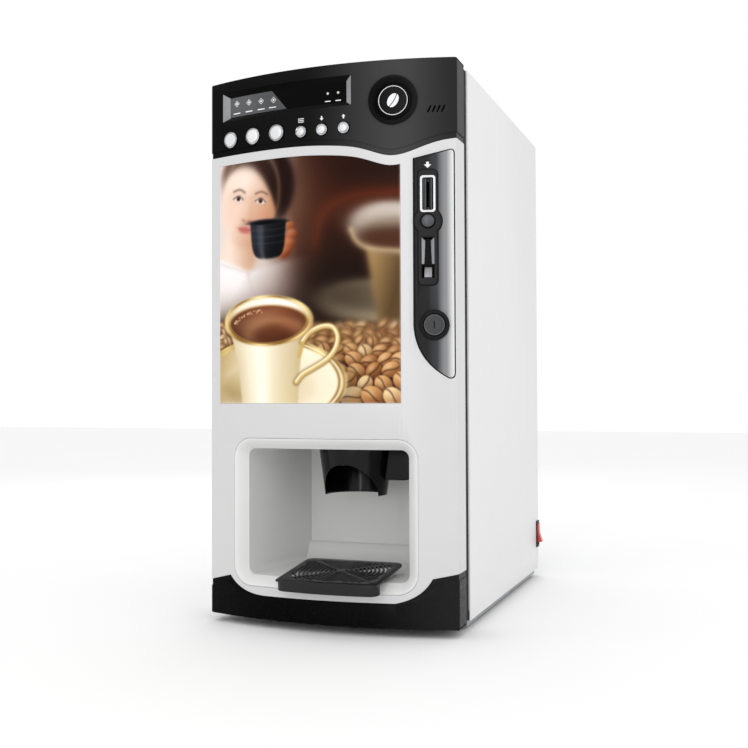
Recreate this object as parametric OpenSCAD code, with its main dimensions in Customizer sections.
/* [Cabinet] */
// Width of the machine across the side panels
body_w = 320; // [300:1:400]
// Height from the table to the top of the control bezel
body_h = 670; // [660:1:820]
// Depth from the door's front corners to the back panel
body_d = 459; // [450:1:560]
// Thickness of the cabinet's steel sheet
sheet = 1.2; // [0.8:0.1:2]
// Height of the rubber feet below the base pan's skirt
foot_gap = 4; // [3:0.5:12]
// Radius of one rubber foot
foot_r = 14; // [8:0.5:18]

/* [Door] */
// How far the door's front bows out at the middle
bow = 25; // [15:1:40]
// Depth of the door's white side wall
door_d = 32; // [28:1:45]
// Wall thickness of the moulded door parts
wall = 3; // [2:0.1:4]
// Depth of the black inner frame behind the side wall
frame_d = 16; // [14:0.5:24]
// Gap between the door's lower edge and the table
door_gap = 10; // [8:0.5:20]

/* [Control bezel] */
// Height of the flat part of the bezel's lower edge
bezel_z = 577; // [570:1:590]
// Centre of the round badge, across
badge_x = 88; // [80:1:92]
// Centre of the round badge, up
badge_z = 622; // [618:1:626]
// Outer radius of the badge
badge_r = 29; // [20:0.5:31]
// Radius of the three selection buttons
select_r = 10; // [6:0.5:12]
// Radius of the three setting buttons
set_r = 6.8; // [4:0.1:8]
// Travel of the buttons
key_travel = 2.5; // [1:0.1:3]
// Gap around each button in its hole
key_gap = 0.3; // [0.1:0.05:0.5]

/* [Cup station] */
// Width of the cup station's inner opening
cup_w = 208; // [180:1:212]
// Height of the cup station's inner opening
cup_h = 154.5; // [120:0.5:160]
// Height of the cup station's floor
cup_z = 60.5; // [56:0.5:66]
// Depth from the door's front corners to the back wall
cup_d = 150; // [110:1:154]
// Width of the sloping band round the opening
band_w = 14.5; // [8:0.5:16]
// Depth of the sloping band
band_d = 15; // [8:0.5:18]

/* [Drip tray] */
// Width of the drip grid
grid_w = 126; // [100:1:130]
// Front edge of the drip grid, in front of the door's corners
grid_front = 50; // [40:1:56]
// Slope of the grid towards the user
grid_tilt = 6.5; // [3:0.5:8]
// Thickness of the grid plate
grid_t = 3; // [2:0.1:3.5]
// Number of ring slots in the grid
grid_rings = 8; // [3:1:9]

/* [Coin unit] */
// Centre line of the coin slot and the return button
coin_x = 127.5; // [124:0.5:130]
// Centre of the coin slot, up
slot_z = 511; // [508:1:514]
// Centre of the coin return button, up
return_z = 479.5; // [477:0.5:482]
// Centre of the lock, across
lock_x = 134.3; // [130:0.1:136]
// Centre of the lock, up
lock_z = 359.5; // [350:0.5:370]
// Radius of the turning lock core
lock_r = 9; // [6:0.1:10]

/* [Powder canisters] */
// Width of one canister
can_w = 92; // [80:1:94]
// Length of one canister
can_d = 200; // [160:1:202]
// Height of one canister from the shelf to its rim
can_h = 180; // [140:1:190]
// Wall thickness of the canisters and bowls
can_t = 2; // [1.5:0.1:2.5]
// Distance between the canisters
can_pitch = 98; // [96:0.5:102]

/* [Fits] */
// Radial running clearance of shafts and pins
run_fit = 0.05; // [0.02:0.01:0.1]
// Gap between parts that sit side by side
seam = 0.3; // [0.2:0.05:0.5]
// How much a hose swells at its bends
elbow_swell = 0.2; // [0.1:0.05:0.4]

/* [Hidden] */
$fn = 64;
bow_fn = 720;
eps = 0.01;

// Heights and depths that follow from the overall sizes
side_x = body_w / 2;
cab_y = door_d + frame_d;
cab_z = door_gap + 2;
cab_top = body_h - 2;
floor_z = cab_z + 2;
in_x = side_x - sheet;
lip = 10;
foot_x = side_x - 30;
foot_y1 = cab_y + 27;
foot_y2 = body_d - 34;

// The bowed front is a vertical cylinder through the door's two front corners
bow_r = (side_x * side_x + bow * bow) / (2 * bow);
bow_cy = bow_r - bow;
function bow_y(x) = bow_cy - sqrt(bow_r * bow_r - x * x);
function bow_a(x) = asin(x / bow_r);
function bezier(p0, p1, p2, n) =
  [for (i = [0:n]) let (t = i / n) p0 * (1 - t) * (1 - t) + p1 * 2 * t * (1 - t) + p2 * t * t];
function bell(x, c, w) = exp(-pow((x - c) / w, 2));

// Lower edge of the bezel: flat, with a soft dip below the badge
dip_x = badge_x + 2;
function bezel_edge(x) =
  bezel_z - 17 * bell(x, dip_x, x < dip_x ? 35 : 42) - 4.5 * bell(x, dip_x / 2, 50);
edge_step = 6.4;
function bezel_line(drop, x0, x1) =
  let (n = ceil((x1 - x0) / edge_step)) [for (i = [0:n]) let (x = x0 + (x1 - x0) * i / n)
    [x, bezel_edge(x) - drop]];

// Upper edge of the black base cover: two shoulders and a notch for the cup station
function base_edge(up) = concat(
  [[-side_x - 1, 51 + up]],
  bezier([-128, 59.5 + up], [-112, 39 + up], [-78, 38.3 + up], 8),
  bezier([88, 39 + up], [119, 45 + up], [131, 68 + up], 8),
  [[side_x + 1, 74 + up]]);

// Cup station opening, outline and back wall
cup_x0 = -107.4;
cup_x1 = cup_x0 + cup_w;
cup_top = cup_z + cup_h;
ring_drop = 11.5;
cup_taper = 18.5;
cup_wall = 2.5;
taper_y = 2;
ring_pts = 6;
ring_span = 10;

// Drip tray
grid_x = (cup_x0 + cup_x1) / 2 + 16.5;
grid_rear = 53;
grid_z = cup_z + 0.8;
grid_seat = 5.2;
sump_x = grid_w / 2 - 7;
sump_y0 = 4;
sump_y1 = 48;
sump_z = cup_z - 15;
sump_gap = 0.5;
lip_h = 13.5;

// Nozzle shroud
shroud_x = 10.5;
shroud_y = 62;
shroud_h = 59;
shroud_r1 = 38.5;
shroud_r2 = 46.5;

// Door hinge, centred on the rear edge of the side wall
pivot_x = -side_x + 10;
pivot_y = door_d;
pin_r = 3;
pin_l = 12;
lug_r = 6.5;
frame_w = 12;
frame_z0 = cab_z + 6.3;
frame_z1 = cab_top - 6.8;
arm_t = 3;
arm_r = 5.5;

// Buttons
select_xs = [-127, -93, -59];
select_z = 596;
set_xs = [-25.5, 1.5, 29];
set_z = 593.5;
board_y = 14;
board_t = 1.6;
switch_h = 3.2;
key_flange = 1.5;
board_x0 = -149;
board_x1 = 51;
board_z0 = 583;
board_z1 = body_h - 5;
display_x0 = -130;
display_x1 = 32;
display_z0 = 624;
display_z1 = 649;

// Poster
poster_x0 = -145;
poster_x1 = 96;
poster_z0 = 270;
poster_drop = 12;
poster_t = 1.5;

// Coin unit
coin_skin = 0.8;
coin_t = 2;
plate_t = 1.4;
coin_left = 111;
plate_w = 21.4;
plate_z0 = 405.7;
plate_z1 = 539;
slot_w = 3;
slot_h = 30;
slot_frame_w = 17.2;
slot_frame_h = 42.6;
return_r = 7.8;
chute_w = 14.5;
chute_z0 = 414;
chute_z1 = 461;
flap_h = 30;
flap_t = 1.5;
flap_pin = 1.2;
mech_x0 = 113;
mech_x1 = 142;
mech_y = 70;
mech_z0 = 398;
mech_z1 = 545;
lock_ring = 17.5;
lock_head = 12;
lock_depth = 62;
cam_l = 34;
cam_w = 14;
cam_t = 3;

// Powder canisters, augers and bowls
shelf_z = body_h - 250;
can_y0 = cab_y + 49;
can_rim = shelf_z + can_h;
trough_r = 20;
trough_z = shelf_z + trough_r;
hopper_h = 56;
auger_r = 16;
auger_shaft = 4;
panel_y = can_y0 + can_d + 1;
lid_h = 6;
can_xs = [-can_pitch, 0, can_pitch];
spout_l = 24;
bowl_y = can_y0 + 2;
bowl_r = 38;
bowl_z0 = shelf_z - 72;
bowl_z1 = shelf_z - 22;
chamber_z = bowl_z0 - 8;
chamber_r = 22;
chamber_l = 36;
whip_r = 16;
whip_shaft = 3;
plate_y = bowl_y + bowl_r + 2;
plate_low = cup_top + 26;
outlet_r = 7;
outlet_bore = 5;
outlet_y = bowl_y - 9;
outlet_z = chamber_z - chamber_r - 14;

// Machinery behind the equipment panel
boiler_r = 58;
boiler_x = -85;
boiler_y = (panel_y + sheet + body_d - sheet) / 2;
boiler_z0 = floor_z + 40;
boiler_z1 = 330;
pump_x = 14;
fan_w = 92;
fan_t = 25;
fan_x = 80;
fan_z = body_h - 110;
fan_r = 42;
inlet_x = 0;
inlet_z = 48;
spigot_r = 6;
spigot_l = 14;
socket_x = 60;
socket_z = 50;
switch_y0 = body_d - 16;
switch_y1 = body_d - 1.5;
switch_z0 = 47;
switch_z1 = 84;
rocker_w = 12;
rocker_h = 14.2;
rocker_in = 6;
rocker_out = 12;
rocker_tilt = 10;
rocker_pin = 1.2;
rocker_z = (switch_z0 + switch_z1) / 2;
rocker_y = (switch_y0 + switch_y1) / 2;
rocker_x = side_x - rocker_in;
nozzle_z = cup_top + 10;

// The origin is on the table, under the middle of the box round the whole machine
key_dome = 3.5;
spigot_flange = 4;
far_x = rocker_x + rocker_out * cos(rocker_tilt) + rocker_h * sin(rocker_tilt);
near_y = min(-grid_front - grid_t * sin(grid_tilt), -bow - key_dome);
far_y = body_d + spigot_flange + spigot_l;
module machine() translate([-(far_x - side_x) / 2, -(near_y + far_y) / 2, 0]) children();

// An outline drawn in X and Z, made solid from y0 to y1
module slab(y0, y1) translate([0, y1, 0]) rotate([90, 0, 0]) linear_extrude(y1 - y0) children();

// A local frame on the bowed front: X along it, Y up, Z outwards
module on_face(x, z) translate([x, bow_y(x), z]) rotate([0, 0, bow_a(x)]) rotate([90, 0, 0]) children();

// The front's solid, set in by a distance, back to y1
module bow_solid(inset, y1, z0, z1) intersection() {
  translate([0, bow_cy, z0]) cylinder(r = bow_r - inset, h = z1 - z0, $fn = bow_fn);
  translate([-side_x + max(inset, 0), -2 * bow, z0])
    cube([body_w - 2 * max(inset, 0), y1 + 2 * bow, z1 - z0]);
}

// A skin that follows the front, from out (proud) to inset (behind it)
module front_skin(out, inset) intersection() {
  difference() {
    translate([0, bow_cy, 0]) cylinder(r = bow_r + out, h = body_h + 1, $fn = bow_fn);
    translate([0, bow_cy, -1]) cylinder(r = bow_r - inset, h = body_h + 3, $fn = bow_fn);
  }
  slab(-2 * bow, door_d) children();
}

module round_rect(x0, x1, z0, z1, r) union() {
  translate([x0 + r, z0]) square([x1 - x0 - 2 * r, z1 - z0]);
  translate([x0, z0 + r]) square([x1 - x0, z1 - z0 - 2 * r]);
  for (x = [x0 + r, x1 - r], z = [z0 + r, z1 - r]) translate([x, z]) circle(r);
}

// A straight round bar or tube core from p to q
module bar(p, q, r) {
  d = q - p;
  len_xy = norm([d[0], d[1]]);
  translate(p) rotate([0, atan2(len_xy, d[2]), atan2(d[1], d[0])]) cylinder(r = r, h = norm(d));
}

module pipe_run(pts, r) {
  for (i = [0:len(pts) - 2]) bar(pts[i], pts[i + 1], r);
  for (i = [1:len(pts) - 2]) translate(pts[i]) sphere(r + elbow_swell);
}

// ---------------------------------------------------------------- cabinet

module base_pan() machine() color("dimgray") {
  difference() {
    union() {
      translate([-in_x, cab_y, cab_z]) cube([2 * in_x, body_d - sheet - cab_y, floor_z - cab_z]);
      translate([-in_x + 4, cab_y + 4, foot_gap])
        cube([2 * in_x - 8, body_d - cab_y - 12, cab_z - foot_gap]);
      translate([-in_x, cab_y, cab_z]) cube([2 * in_x, sheet, lip + 2]);
    }
    translate([-in_x + 6, cab_y + 6, 0]) cube([2 * in_x - 12, body_d - cab_y - 16, cab_z]);
  }
}

module feet() machine() color("black")
  for (x = [-foot_x, foot_x], y = [foot_y1, foot_y2]) translate([x, y, 0]) {
    cylinder(r1 = foot_r - 2, r2 = foot_r, h = foot_gap);
    translate([0, 0, foot_gap]) cylinder(r = foot_r, h = cab_z - foot_gap);
  }

module cabinet_shell() machine() color("gainsboro") difference() {
  union() {
    for (s = [-1, 1]) {
      translate([s > 0 ? in_x : -side_x, cab_y, cab_z])
        cube([sheet, body_d - cab_y, cab_top - cab_z]);
      translate([s > 0 ? in_x - lip : -in_x, cab_y, floor_z + lip])
        cube([lip, sheet, cab_top - floor_z - lip]);
    }
    translate([-side_x, cab_y, cab_top - sheet]) cube([body_w, body_d - cab_y, sheet]);
    translate([-in_x, cab_y, cab_top - lip]) cube([2 * in_x, sheet, lip]);
    translate([-side_x + 4, cab_y, cab_top]) cube([body_w - 8, 60, body_h - cab_top]);
  }
  translate([in_x - 1, switch_y0, switch_z0]) cube([sheet + 2, switch_y1 - switch_y0, switch_z1 - switch_z0]);
}

module back_panel() machine() color("silver") difference() {
  translate([-in_x, body_d - sheet, cab_z]) cube([2 * in_x, sheet, cab_top - sheet - cab_z]);
  slab(body_d - 4, body_d + 1) {
    translate([fan_x, fan_z]) circle(fan_r);
    translate([inlet_x, inlet_z]) circle(spigot_r + 4);
    translate([socket_x - 14, socket_z - 10]) square([28, 20]);
    for (i = [0:8], s = [-1, 1]) translate([s > 0 ? 70 : -110, 150 + 9 * i]) square([40, 3]);
    for (i = [0:5]) translate([-110, fan_z - 26 + 9 * i]) square([60, 3]);
  }
}

module equipment_panel() machine() color("lightgray") difference() {
  translate([-in_x, panel_y, floor_z]) cube([2 * in_x, sheet, cab_top - sheet - floor_z]);
  slab(panel_y - 1, panel_y + 3) {
    for (x = can_xs) {
      translate([x, trough_z]) circle(auger_shaft + 2);
      translate([x, bowl_z1 + 8]) circle(6);
    }
    for (i = [0:7]) translate([-150, 250 + 9 * i]) square([22, 3]);
  }
}

module canister_shelf() machine() color("lightgray") difference() {
  union() {
    translate([-in_x, can_y0, shelf_z - 1.5]) cube([2 * in_x, panel_y - can_y0, 1.5]);
    translate([-in_x, plate_y, plate_low]) cube([2 * in_x, 1.5, shelf_z - 1.5 - plate_low]);
  }
  for (x = can_xs) {
    translate([x, plate_y - 1, chamber_z]) rotate([-90, 0, 0]) cylinder(r = whip_shaft + 2, h = 4);
    translate([x, plate_y - 1, bowl_z1 + 8]) rotate([-90, 0, 0]) cylinder(r = 6, h = 4);
  }
}

// Each bracket's arm bends inwards, so that the door's side wall can swing round the pin
module hinge_brackets() machine() color("silver") for (up = [true, false]) {
  z0 = up ? frame_z1 + seam : frame_z0 - seam - arm_t;
  translate([pivot_x, pivot_y, z0]) {
    cylinder(r = arm_r, h = arm_t);
    translate([0, -arm_r, 0]) cube([26, 2 * arm_r, arm_t]);
    translate([14, -arm_r, 0]) cube([12, frame_d + arm_r, arm_t]);
    translate([14, frame_d - 2, up ? 0 : -2]) cube([12, 2, 5]);
    translate([0, 0, up ? -pin_l : arm_t]) cylinder(r = pin_r, h = pin_l);
  }
}

// ---------------------------------------------------------------- powder, water and drive

module canister_profile(t) union() {
  polygon([[-can_w / 2 + t, can_h + t], [can_w / 2 - t, can_h + t], [can_w / 2 - t, hopper_h + t],
    [trough_r - t, trough_r], [-trough_r + t, trough_r], [-can_w / 2 + t, hopper_h + t]]);
  translate([0, trough_r]) circle(trough_r - t);
}

module canisters() machine() color("whitesmoke") for (x = can_xs) difference() {
  union() {
    intersection() {
      translate([x, 0, shelf_z]) slab(can_y0, can_y0 + can_d) canister_profile(0);
      translate([x - can_w, can_y0, shelf_z]) cube([2 * can_w, can_d, can_h]);
    }
    translate([x, 0, trough_z]) slab(can_y0 - spout_l, can_y0 + 1) circle(trough_r - 1);
    translate([x - 12, can_y0 - spout_l, trough_z - 34]) cube([24, spout_l - 1, 34]);
  }
  translate([x, 0, shelf_z]) slab(can_y0 + can_t, can_y0 + can_d - can_t) canister_profile(can_t);
  translate([x, 0, trough_z]) slab(can_y0 - spout_l + can_t, can_y0 + 2 * can_t)
    circle(trough_r - 1 - can_t);
  translate([x - 10, can_y0 - spout_l + can_t, trough_z - 35]) cube([20, spout_l - 5, 34]);
  translate([x, 0, trough_z]) slab(can_y0 + can_d - 5, can_y0 + can_d + 1) circle(auger_shaft + run_fit);
}

module canister_lid(x) machine() color("white") difference() {
  union() {
    translate([x - can_w / 2 - 1, can_y0 - 1, can_rim + seam])
      cube([can_w + 2, can_d + 1, can_t]);
    translate([x - can_w / 2 + can_t + seam, can_y0 + can_t + seam, can_rim - lid_h])
      cube([can_w - 2 * (can_t + seam), can_d - 2 * (can_t + seam), lid_h + 1]);
  }
  translate([x - can_w / 2 + 2 * can_t + seam, can_y0 + 2 * can_t + seam, can_rim - lid_h - 1])
    cube([can_w - 4 * can_t - 2 * seam, can_d - 4 * can_t - 2 * seam, lid_h + 1]);
}

module auger(x) machine() color("white") translate([x, 0, trough_z]) {
  blade_y0 = can_y0 - spout_l + can_t + 3;
  blade_y1 = can_y0 + can_d - can_t - 4;
  translate([0, blade_y1, 0]) rotate([90, 0, 0])
    linear_extrude(blade_y1 - blade_y0, twist = 1440, slices = 72, $fn = 4)
      square([2 * (auger_r - 1.5), 3], center = true);
  slab(blade_y1, blade_y1 + 3) circle(auger_r - 4);
  slab(blade_y1 + 3, panel_y + sheet + 14) circle(auger_shaft);
}

module auger_motors() machine() color("darkslategray") for (x = can_xs)
  translate([x, 0, trough_z]) difference() {
    union() {
      slab(panel_y + sheet, panel_y + sheet + 24) translate([-26, -30]) square([52, 60]);
      slab(panel_y + sheet + 24, panel_y + sheet + 62) translate([0, -8]) circle(18);
    }
    slab(panel_y + sheet - 1, panel_y + sheet + 16) circle(auger_shaft + run_fit);
  }

module mixing_bowls() machine() color("whitesmoke") for (x = can_xs) translate([x, bowl_y, 0])
  difference() {
    union() {
      translate([0, 0, bowl_z0]) cylinder(r1 = chamber_r - 2, r2 = bowl_r, h = bowl_z1 - bowl_z0);
      translate([0, 0, chamber_z]) rotate([90, 0, 0])
        cylinder(r = chamber_r, h = chamber_l, center = true);
      translate([0, chamber_l / 2 - 1, chamber_z]) rotate([-90, 0, 0])
        cylinder(r = chamber_r - 6, h = plate_y - bowl_y - chamber_l / 2 + 1);
      translate([0, outlet_y - bowl_y, outlet_z]) cylinder(r = outlet_r, h = chamber_z - outlet_z);
    }
    translate([0, 0, bowl_z0]) cylinder(r1 = chamber_r - 4, r2 = bowl_r - can_t,
      h = bowl_z1 - bowl_z0 + eps);
    translate([0, 0, chamber_z]) rotate([90, 0, 0])
      cylinder(r = chamber_r - can_t, h = chamber_l - 2 * can_t, center = true);
    translate([0, 0, chamber_z]) cylinder(r = chamber_r - 6, h = bowl_z0 - chamber_z + 1);
    translate([0, outlet_y - bowl_y, outlet_z - 1])
      cylinder(r = outlet_bore, h = chamber_z - outlet_z - 4);
    translate([0, 0, chamber_z]) rotate([-90, 0, 0]) cylinder(r = whip_shaft + run_fit, h = 80);
  }

module whipper(x) machine() color("white") translate([x, 0, chamber_z]) {
  slab(bowl_y - 2, bowl_y + 2) circle(whip_r - 4);
  for (a = [0:60:300]) rotate([0, a, 0]) translate([5, bowl_y - 7, -1]) cube([whip_r - 6, 12, 2]);
  slab(bowl_y + 2, plate_y + 1.5 + 10) circle(whip_shaft);
}

module whipper_motors() machine() color("dimgray") for (x = can_xs)
  translate([x, 0, chamber_z]) difference() {
    union() {
      slab(plate_y + 1.5, plate_y + 42) circle(19);
      slab(plate_y + 1.5, plate_y + 4.5) translate([-24, -12]) square([48, 24]);
    }
    slab(plate_y, plate_y + 12.5) circle(whip_shaft + run_fit);
  }

module boiler_tank() machine() color("silver") translate([boiler_x, boiler_y, 0]) {
  difference() {
    translate([0, 0, boiler_z0]) cylinder(r = boiler_r, h = boiler_z1 - boiler_z0);
    translate([0, 0, boiler_z0 + 1.5]) cylinder(r = boiler_r - 1.5, h = boiler_z1 - boiler_z0 - 3);
    translate([0, 0, boiler_z1 - 4]) cylinder(r = 20, h = 8);
  }
  for (a = [90:120:330]) rotate([0, 0, a]) translate([boiler_r - 14, -6, floor_z])
    cube([10, 12, boiler_z0 - floor_z]);
  translate([0, 0, boiler_z1]) cylinder(r = 30, h = 5);
  for (x = [-9, 9]) translate([x, 0, boiler_z0 + 40]) cylinder(r = 4, h = boiler_z1 - boiler_z0 - 36);
  translate([0, 0, boiler_z0 + 40]) rotate([0, 90, 0]) cylinder(r = 4, h = 18, center = true);
  for (x = [-9, 9]) translate([x, 0, boiler_z1 + 5]) cylinder(r = 2.5, h = 12);
}

valve_xs = [-115, -85, -55];
valve_z = boiler_z1 + 24;
module outlet_valves() machine() color("whitesmoke") {
  for (x = valve_xs) {
    translate([x - 11, panel_y + sheet, valve_z - 12]) cube([22, 26, 40]);
    translate([x, panel_y + sheet + 13, valve_z - 24]) cylinder(r = 5, h = 14);
  }
  difference() {
    translate([-132, panel_y + sheet, boiler_z1 - 1]) cube([94, 26, 7]);
    translate([boiler_x, boiler_y, 0]) cylinder(r = boiler_r + seam, h = body_h);
  }
}

module water_pump() machine() color("dimgray") {
  translate([pump_x, boiler_y, floor_z + 34]) rotate([90, 0, 0]) cylinder(r = 26, h = 70, center = true);
  translate([pump_x - 24, boiler_y - 36, floor_z]) cube([48, 72, 14]);
  translate([pump_x, boiler_y, floor_z + 56]) cylinder(r = 6, h = 30);
}

module water_inlet() machine() color("white") difference() {
  union() {
    translate([inlet_x, 0, inlet_z]) slab(body_d, body_d + spigot_flange) circle(spigot_r + 8);
    translate([inlet_x, 0, inlet_z]) slab(body_d - 14, body_d + eps) circle(spigot_r + 3.7);
    translate([inlet_x, 0, inlet_z]) slab(body_d, body_d + spigot_flange + spigot_l) circle(spigot_r);
  }
  translate([inlet_x, 0, inlet_z]) slab(body_d - 20, far_y + 1) circle(spigot_r - 2);
}

module main_board() machine() color("darkgreen") {
  translate([20, panel_y + sheet + 8, 180]) cube([125, 1.6, 150]);
  for (x = [28, 137], z = [188, 322]) translate([x, 0, z]) slab(panel_y + sheet, panel_y + sheet + 8) circle(3);
  translate([40, panel_y + sheet + 9.6, 200]) cube([30, 18, 30]);
  translate([90, panel_y + sheet + 9.6, 260]) cube([40, 12, 24]);
}

module power_supply() machine() color("silver") difference() {
  translate([86, panel_y + 16, floor_z]) cube([62, 100, 100]);
  for (i = [0:5]) translate([84, panel_y + 30 + 14 * i, floor_z + 20]) cube([12, 5, 60]);
}

module power_inlet() machine() color("black") difference() {
  union() {
    translate([socket_x, 0, socket_z]) slab(body_d, body_d + 2.5) translate([-17, -13]) square([34, 26]);
    translate([socket_x, 0, socket_z]) slab(body_d - 24, body_d + eps) translate([-13.7, -9.7]) square([27.4, 19.4]);
  }
  translate([socket_x, 0, socket_z]) slab(body_d - 16, body_d + 3) translate([-11.5, -7.5]) square([23, 15]);
}

module fan_frame() machine() color("black") translate([fan_x, 0, fan_z]) difference() {
  slab(body_d - sheet - fan_t, body_d - sheet) translate([-fan_w / 2, -fan_w / 2]) square(fan_w);
  difference() {
    slab(body_d - sheet - fan_t - 1, body_d) circle(fan_r);
    slab(body_d - sheet - 3, body_d + 1) for (a = [45, 135]) rotate(a) square([fan_w, 3], center = true);
  }
}

module fan_rotor() machine() color("black") translate([fan_x, 0, fan_z]) {
  slab(body_d - sheet - fan_t + 2, body_d - sheet - 3.5) circle(17);
  for (a = [0:360 / 7:359]) rotate([0, a, 0]) translate([0, body_d - sheet - fan_t / 2 - 1, 0])
    rotate([35, 0, 0]) translate([15, -1, -9]) cube([fan_r - 17, 1.6, 18]);
}

module nozzle_block() machine() color("white") difference() {
  union() {
    translate([shroud_x - 36, cab_y + 6, nozzle_z]) cube([72, 26, 14]);
    translate([shroud_x - 20, cab_y + 30, nozzle_z + 11]) cube([40, plate_y - cab_y - 30, 3]);
    translate([shroud_x - 20, plate_y - 2, nozzle_z + 11]) cube([40, 2, 24]);
  }
  for (i = [-1:1]) translate([shroud_x + 22 * i, cab_y + 19, nozzle_z - 1]) cylinder(r = 5, h = 16);
}

// Hot water tubes from the valves to the bowls, and drink hoses from the bowls to the nozzles
tube_y = panel_y + sheet + 13.5;
tube_z = bowl_z1 + 7.5;
tube_r = 4;
module silicone_tubes() machine() color("gainsboro") for (i = [0:2]) {
  run_y = tube_y + (i - 1) * (2 * tube_r + 1);
  pipe_run([[can_xs[i], bowl_y + 20, bowl_z1 - 6], [can_xs[i], bowl_y + 20, tube_z],
    [can_xs[i], run_y, tube_z], [valve_xs[i], run_y, tube_z], [valve_xs[i], run_y, valve_z + 28]], tube_r);
  outlet = [can_xs[i], outlet_y, outlet_z];
  nozzle = [shroud_x + 22 * (i - 1), cab_y + 19, nozzle_z + 14];
  pipe_run([outlet, outlet - [0, 0, 12], nozzle + [0, 0, 12], nozzle], 6.5);
}

module switch_frame() machine() color("black") difference() {
  union() {
    translate([side_x, switch_y0 - 1, switch_z0 - 1.5])
      cube([1.8, switch_y1 - switch_y0 + 2, switch_z1 - switch_z0 + 3]);
    translate([side_x - 20, switch_y0 + 0.2, switch_z0 + 0.2])
      cube([20 + eps, switch_y1 - switch_y0 - 0.4, switch_z1 - switch_z0 - 0.4]);
  }
  translate([side_x - 16, switch_y0 + 1.2, switch_z0 + 2])
    cube([30, switch_y1 - switch_y0 - 2.4, switch_z1 - switch_z0 - 4]);
  translate([rocker_x, 0, rocker_z]) slab(switch_y0 + 0.5, switch_y1 - 0.5) circle(rocker_pin + run_fit);
}

// The rocker turns about a line along Y, and rests with its upper half pressed in
module power_rocker() machine() color("red") translate([rocker_x, 0, rocker_z]) {
  rotate([0, -rocker_tilt, 0]) slab(rocker_y - rocker_w / 2 + seam, rocker_y + rocker_w / 2 - seam)
    polygon([[-4, -rocker_h], [rocker_out, -rocker_h], [rocker_out - 2, 0], [rocker_out, rocker_h],
      [-4, rocker_h]]);
  slab(switch_y0 + 0.6, switch_y1 - 0.6) circle(rocker_pin);
}

module coin_box() machine() color("silver") difference() {
  translate([side_x - 38, cab_y + 12, floor_z]) cube([34, 150, 170]);
  translate([side_x - 36.5, cab_y + 13.5, floor_z + 1.5]) cube([31, 147, 170]);
}

// ---------------------------------------------------------------- door

module door_holes() {
  on_face(coin_x, slot_z) cube([slot_w + 3, slot_h + 3, 60], center = true);
  on_face(coin_x, return_z) cylinder(r = return_r + key_gap, h = 60, center = true);
  on_face(coin_x, (chute_z0 + chute_z1) / 2) cube([chute_w, chute_z1 - chute_z0, 60], center = true);
  on_face(lock_x, lock_z) cylinder(r = lock_r + 3, h = 60, center = true);
}

module coin_outline(grow) polygon(concat(
  [[side_x + 1, 299 - grow], [153, 298.5 - grow]],
  bezier([153, 298.5 - grow], [113 - grow, 319 - grow], [coin_left - grow, 360], 8),
  [[coin_left - grow, 552.6 + grow], [130, 558.4 + grow], [side_x + 1, 566.5 + grow]]));

module poster_outline(grow) polygon(concat(
  [[poster_x1 + grow, poster_z0 - grow], [poster_x0 - grow, poster_z0 - grow]],
  bezel_line(poster_drop - grow, poster_x0 - grow, poster_x1 + grow)));

module door_shell() machine() color("white") difference() {
  intersection() {
    bow_solid(0, door_d, door_gap, body_h);
    slab(-2 * bow, door_d + 1) polygon(concat(base_edge(seam),
      [for (i = [51:-1:0]) let (x = -side_x - 1 + (body_w + 2) * i / 51) [x, bezel_edge(x) - seam]]));
  }
  bow_solid(wall, door_d + 1, 0, body_h + 1);
  slab(-2 * bow, 2 * bow) round_rect(cup_x0 - band_w - seam, cup_x1 + band_w + seam,
    cup_z - ring_drop - seam, cup_top + band_w - 1.5 + seam, 24);
  front_skin(1, poster_t) poster_outline(seam);
  front_skin(2, coin_t - coin_skin) coin_outline(seam);
  door_holes();
}

module door_frame() machine() color("black") difference() {
  union() {
    difference() {
      translate([-side_x + 2, door_d, frame_z0]) cube([body_w - 4, frame_d - seam, frame_z1 - frame_z0]);
      translate([-side_x + 2 + frame_w, door_d - 1, frame_z0 + frame_w])
        cube([body_w - 4 - 2 * frame_w, frame_d + 2, frame_z1 - frame_z0 - 2 * frame_w]);
      difference() {
        translate([-side_x, door_d, 0]) cube([10, frame_d, body_h]);
        translate([pivot_x, pivot_y, -1]) cylinder(r = frame_d - seam, h = body_h + 2);
      }
    }
    for (z = [cup_top + 18, 556]) translate([-side_x + 4, door_d, z]) cube([body_w - 8, 8, 10]);
    for (z = [[door_gap + wall + seam, frame_z0 + 1], [frame_z1 - 1, body_h - wall - seam]])
      translate([pivot_x + 30, door_d, z[0]])
        cube([2 * side_x - 42, frame_d - seam, z[1] - z[0]]);
    for (z = [frame_z0, frame_z1 - pin_l - 4]) translate([pivot_x, pivot_y, z])
      cylinder(r = lug_r, h = pin_l + 4);
  }
  for (z = [frame_z0 - 1, frame_z1 - pin_l - 1]) translate([pivot_x, pivot_y, z])
    cylinder(r = pin_r + run_fit, h = pin_l + 2);
}

// Points round the cup station's band: corner arcs, and steps along the bowed top and bottom
function arc_pts(cx, cz, r, a0) =
  [for (i = [0:ring_pts]) [cx + r * cos(a0 + 90 * i / ring_pts), cz + r * sin(a0 + 90 * i / ring_pts)]];
function span_pts(xa, xb, z) =
  [for (i = [1:ring_span - 1]) [xa + (xb - xa) * i / ring_span, z]];
function ring_outline(x0, x1, z0, z1, r) = concat(
  arc_pts(x1 - r, z1 - r, r, 0), span_pts(x1 - r, x0 + r, z1),
  arc_pts(x0 + r, z1 - r, r, 90), arc_pts(x0 + r, z0 + r, r, 180),
  span_pts(x0 + r, x1 - r, z0), arc_pts(x1 - r, z0 + r, r, 270));

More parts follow.
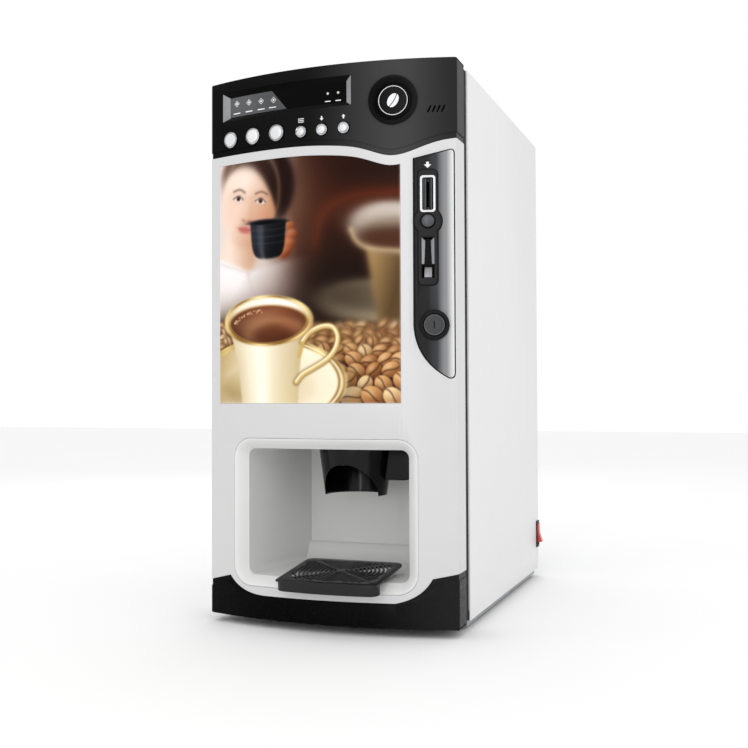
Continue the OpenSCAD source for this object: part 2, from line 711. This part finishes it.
module band_ring() {
  outer = ring_outline(cup_x0 - band_w, cup_x1 + band_w, cup_z - ring_drop,
    cup_top + band_w - 1.5, 24);
  inner = ring_outline(cup_x0, cup_x1, cup_z, cup_top, 10);
  n = len(outer);
  pts = concat(
    [for (p = outer) [p[0], bow_y(p[0]), p[1]]],
    [for (p = inner) [p[0], bow_y(p[0]) + band_d, p[1]]],
    [for (p = inner) [p[0], bow_y(p[0]) + band_d + wall, p[1]]],
    [for (p = outer) [p[0], bow_y(p[0]) + wall + 1.5, p[1]]]);
  faces = [for (k = [0:3], i = [0:n - 1], h = [0, 1])
    let (j = (i + 1) % n, a = k * n, b = ((k + 1) % 4) * n)
    h == 0 ? [a + i, b + j, a + j] : [a + i, b + i, b + j]];
  polyhedron(pts, faces, convexity = 8);
}

module cup_plan(grow, y1) polygon([[cup_x0 - grow, -2 * bow], [cup_x0 - grow, taper_y],
  [cup_x0 + cup_taper - grow, y1], [cup_x1 - cup_taper + grow, y1], [cup_x1 + grow, taper_y],
  [cup_x1 + grow, -2 * bow]]);

module cup_station() machine() color("white") difference() {
  union() {
    band_ring();
    difference() {
      intersection() {
        translate([0, 0, cup_z - cup_wall]) linear_extrude(cup_h + 2 * cup_wall)
          cup_plan(cup_wall, cup_d + cup_wall);
        bow_solid(band_d + 1, body_d, 0, body_h);
      }
      translate([0, 0, cup_z]) linear_extrude(cup_h) cup_plan(0, cup_d);
    }
    translate([cup_x0 + cup_taper - 1, cup_d - 8, cup_z - 1])
      cube([cup_w - 2 * cup_taper + 2, 9, 22]);
    translate([grid_x - sump_x - cup_wall, sump_y0 - cup_wall, sump_z - cup_wall])
      cube([2 * (sump_x + cup_wall), sump_y1 - sump_y0 + 2 * cup_wall, cup_z - sump_z + 1]);
  }
  translate([grid_x - sump_x, sump_y0, sump_z]) cube([2 * sump_x, sump_y1 - sump_y0, 40]);
  translate([shroud_x, shroud_y, cup_top - 1]) cylinder(r = 30, h = 10);
}

module nozzle_shroud() machine() color("black") {
  difference() {
    translate([shroud_x, shroud_y, cup_top - shroud_h])
      cylinder(r1 = shroud_r1, r2 = shroud_r2, h = shroud_h);
    translate([shroud_x, shroud_y, cup_top - shroud_h - eps])
      cylinder(r1 = shroud_r1 - 2.5, r2 = shroud_r2 - 2.5, h = shroud_h - 3);
    translate([shroud_x, 0, cup_top - shroud_h + 4]) slab(-20, shroud_y) circle(35);
    for (i = [-1:1]) translate([shroud_x + 18 * i, shroud_y, cup_top - 10]) cylinder(r = 4, h = 20);
  }
  for (i = [-1:1]) translate([shroud_x + 18 * i, shroud_y, cup_top - 24]) difference() {
    cylinder(r = 6.5, h = 22);
    translate([0, 0, -1]) cylinder(r = 4, h = 30);
  }
  difference() {
    translate([shroud_x + 40, 0, 0]) slab(shroud_y - 6, shroud_y + 24) union() {
      translate([0, cup_top - 26]) square([39, 26]);
      translate([0, cup_top - 40]) square([25, 26]);
      translate([25, cup_top - 26]) circle(14);
    }
    translate([shroud_x, shroud_y, cup_top - shroud_h])
      cylinder(r1 = shroud_r1 - 0.5, r2 = shroud_r2 - 0.5, h = shroud_h + eps);
  }
}

module control_bezel() machine() color("black") difference() {
  union() {
    difference() {
      intersection() {
        bow_solid(0, door_d, door_gap, body_h);
        slab(-2 * bow, door_d + 1) polygon(concat([[side_x + 1, body_h + 1], [-side_x - 1, body_h + 1]],
          bezel_line(0, -side_x - 1, side_x + 1)));
      }
      bow_solid(wall, door_d + 1, 0, body_h - wall);
    }
    intersection() {
      for (x = [board_x0 + 5, board_x1 - 5], z = [board_z0 + 5, board_z1 - 5])
        translate([x, 0, z]) slab(-2 * bow, board_y) circle(3);
      bow_solid(wall - 1, door_d, 0, body_h);
    }
  }
  slab(-2 * bow, board_y - 4) translate([display_x0, display_z0])
    square([display_x1 - display_x0, display_z1 - display_z0]);
  for (x = select_xs) on_face(x, select_z) cylinder(r = select_r + key_gap, h = 20, center = true);
  for (x = set_xs) on_face(x, set_z) cylinder(r = set_r + key_gap, h = 20, center = true);
  on_face(badge_x, badge_z) cylinder(r = badge_r - 3, h = 20, center = true);
  for (i = [0:3]) on_face(129.5 + 5.2 * i, 610) rotate([0, 0, -25]) cube([1.6, 9, 20], center = true);
}

module display_window() machine() color("black") front_skin(-wall, wall + 2)
  translate([display_x0 - 4, display_z0 - 4])
    square([display_x1 - display_x0 + 8, display_z1 - display_z0 + 8]);

module display_board() machine() color("darkgreen") {
  translate([board_x0, board_y, board_z0]) cube([board_x1 - board_x0, board_t, board_z1 - board_z0]);
  for (x = select_xs) translate([x - 3 + 4, board_y - switch_h, select_z - 3])
    cube([6, switch_h, 6]);
  for (x = set_xs) translate([x - 3, board_y - switch_h, set_z - 3]) cube([6, switch_h, 6]);
}

// A domed push button with a retaining flange behind the bezel and a stem towards its switch
module push_button(x, z, r) machine() color("whitesmoke") on_face(x, z) {
  depth = (board_y - switch_h - key_travel - 0.6 - bow_y(x)) / cos(bow_a(x));
  rotate_extrude() union() {
    polygon([[0, -6.5], [r + key_flange, -6.5], [r + key_flange, -wall - 1.2], [r, -wall - 1.2],
      [r, 1.5], [0, 1.5]]);
    intersection() {
      translate([0, key_dome - 1.6 * r]) circle(1.6 * r);
      translate([0, 1]) square([r, 5]);
    }
  }
  translate([0, 0, -depth]) cylinder(r = 2.2, h = depth - 6);
}

module badge() machine() color("black") on_face(badge_x, badge_z) rotate_extrude() {
  polygon([[badge_r - 6, 1.6], [badge_r - 2, 3], [badge_r, 1.6], [badge_r, 0.8],
    [badge_r - 3.3, 0.8], [badge_r - 3.3, -7], [0, -7], [0, -1], [badge_r - 11, -2.2],
    [badge_r - 10, -4.5]]);
}

module poster_panel() machine() color("peru") front_skin(0, poster_t - eps) poster_outline(0);

module coin_panel() machine() color("dimgray") difference() {
  intersection() {
    front_skin(coin_skin, coin_t - coin_skin - eps) coin_outline(0);
    bow_solid(-coin_skin, door_d, 0, body_h);
  }
  door_holes();
}

module coin_plate() machine() color("black") difference() {
  front_skin(coin_skin + plate_t, -coin_skin) union() {
    round_rect(coin_x - plate_w / 2, coin_x + plate_w / 2, plate_z0, plate_z1, 6);
    translate([coin_x, return_z]) circle(15.5);
  }
  door_holes();
}

module coin_slot_frame() machine() color("white") difference() {
  front_skin(coin_skin + plate_t + 0.8, -coin_skin - plate_t)
    round_rect(coin_x - slot_frame_w / 2, coin_x + slot_frame_w / 2, slot_z - slot_frame_h / 2,
      slot_z + slot_frame_h / 2, 3.5);
  on_face(coin_x, slot_z) cube([slot_w, slot_h, 60], center = true);
}

module coin_mech() machine() color("dimgray") difference() {
  intersection() {
    translate([mech_x0, -2 * bow, mech_z0]) cube([mech_x1 - mech_x0, mech_y + 2 * bow, mech_z1 - mech_z0]);
    bow_solid(wall, mech_y, 0, body_h);
  }
  on_face(coin_x, slot_z) cube([slot_w, slot_h, 80], center = true);
  on_face(coin_x, return_z) cylinder(r = return_r + key_gap, h = 44, center = true);
  on_face(coin_x, (chute_z0 + chute_z1) / 2) cube([chute_w, chute_z1 - chute_z0, 70], center = true);
}

module lock_body() machine() color("dimgray") on_face(lock_x, lock_z) difference() {
  union() {
    translate([0, 0, coin_skin + 0.05]) cylinder(r1 = lock_ring, r2 = lock_ring - 1.2, h = 3.4);
    translate([0, 0, -24]) cylinder(r = lock_r + 2.8, h = 26);
  }
  translate([0, 0, 2]) cylinder(r = lock_head + 0.3, h = 10);
  translate([0, 0, -40]) cylinder(r = lock_r + run_fit, h = 60);
}

module lock_core() machine() color("black") on_face(lock_x, lock_z) difference() {
  union() {
    translate([0, 0, 2.1]) cylinder(r = lock_head, h = 2.6);
    translate([0, 0, -26]) cylinder(r = lock_r, h = 28.2);
    translate([0, 0, -lock_depth]) cylinder(r = 5, h = 40);
    translate([-cam_w / 2, -cam_l, -lock_depth]) cube([cam_w, cam_l + 5, cam_t]);
  }
  translate([0, 0, 4]) cube([1.6, 8, 8], center = true);
}

module coin_return_button() machine() color("silver") on_face(coin_x, return_z)
  rotate_extrude() union() {
    translate([0, -12]) square([return_r, 15.5]);
    intersection() {
      translate([0, 5.2 - 16]) circle(16);
      translate([0, 3]) square([return_r, 3]);
    }
  }

// Flap of the coin return, hung on a pin at its top edge
flap_z = chute_z1 - 2.5;
flap_in = 2.2;
module coin_flap() machine() color("gray") on_face(coin_x, flap_z) translate([0, 0, -flap_in]) {
  translate([-chute_w / 2 + seam, -flap_h, -flap_t / 2]) cube([chute_w - 2 * seam, flap_h, flap_t]);
  rotate([0, 90, 0]) cylinder(r = flap_pin, h = chute_w - 2 * seam, center = true);
}

module base_cover() machine() color("black") difference() {
  intersection() {
    bow_solid(0, door_d, door_gap, body_h);
    slab(-2 * bow, door_d + 1) polygon(concat([[side_x + 1, 0], [-side_x - 1, 0]], base_edge(0)));
  }
  bow_solid(wall, door_d + 1, door_gap + wall, body_h);
}

module grid_outline() intersection() {
  union() {
    translate([-grid_w / 2, 0]) square([grid_w, grid_front + grid_rear - 10]);
    translate([-grid_w / 2 + 10, 0]) square([grid_w - 20, grid_front + grid_rear]);
    for (s = [-1, 1]) translate([s * (grid_w / 2 - 10), grid_front + grid_rear - 10]) circle(10);
  }
  translate([0, 520]) circle(520);
}

// Plate and front lip, drawn level with the front edge at Y = 0, then sloped
module drip_grid() machine() color("black")
  translate([grid_x, -grid_front, grid_z - grid_front * tan(grid_tilt) + grid_seat]) rotate([grid_tilt, 0, 0]) {
    difference() {
      linear_extrude(grid_t) grid_outline();
      translate([0, (grid_front + grid_rear) / 2 + 4, -1]) for (i = [1:grid_rings]) difference() {
        cylinder(r = 4.4 + 5 * i, h = grid_t + 2);
        translate([0, 0, -1]) cylinder(r = 1.9 + 5 * i, h = grid_t + 4);
        for (a = [45, 135]) rotate([0, 0, a]) translate([-80, -1, -2]) cube([160, 2, grid_t + 6]);
      }
    }
    translate([0, 0, -lip_h + grid_t]) linear_extrude(lip_h) difference() {
      grid_outline();
      translate([0, 3]) union() {
        translate([0, 520]) circle(520);
        translate([-grid_w, 12]) square([2 * grid_w, 200]);
      }
    }
  }

module drip_tray() machine() color("black") difference() {
  translate([grid_x - sump_x + sump_gap, sump_y0 + sump_gap, sump_z])
    cube([2 * (sump_x - sump_gap), sump_y1 - sump_y0 - 2 * sump_gap, cup_z - sump_z]);
  translate([grid_x - sump_x + sump_gap + 2, sump_y0 + sump_gap + 2, sump_z + 2])
    cube([2 * (sump_x - sump_gap - 2), sump_y1 - sump_y0 - 2 * sump_gap - 4, 40]);
}

base_pan();
feet();
cabinet_shell();
back_panel();
equipment_panel();
canister_shelf();
power_inlet();
fan_frame();
canisters();
auger_motors();
mixing_bowls();
whipper_motors();
boiler_tank();
outlet_valves();
silicone_tubes();
water_pump();
water_inlet();
main_board();
power_supply();
nozzle_block();
hinge_brackets();
switch_frame();
coin_box();
fan_rotor();
canister_lid(can_xs[0]);  // canister_lid_1
canister_lid(can_xs[1]);  // canister_lid_2
canister_lid(can_xs[2]);  // canister_lid_3
auger(can_xs[0]);  // auger_1
auger(can_xs[1]);  // auger_2
auger(can_xs[2]);  // auger_3
whipper(can_xs[0]);  // whipper_1
whipper(can_xs[1]);  // whipper_2
whipper(can_xs[2]);  // whipper_3
power_rocker();
door_shell();
door_frame();
cup_station();
control_bezel();
display_window();
display_board();
badge();
poster_panel();
coin_panel();
coin_plate();
coin_slot_frame();
coin_mech();
lock_body();
base_cover();
nozzle_shroud();
push_button(select_xs[0], select_z, select_r);  // select_button_1
push_button(select_xs[1], select_z, select_r);  // select_button_2
push_button(select_xs[2], select_z, select_r);  // select_button_3
push_button(set_xs[0], set_z, set_r);  // set_button_1
push_button(set_xs[1], set_z, set_r);  // set_button_2
push_button(set_xs[2], set_z, set_r);  // set_button_3
coin_return_button();
coin_flap();
lock_core();
drip_tray();
drip_grid();
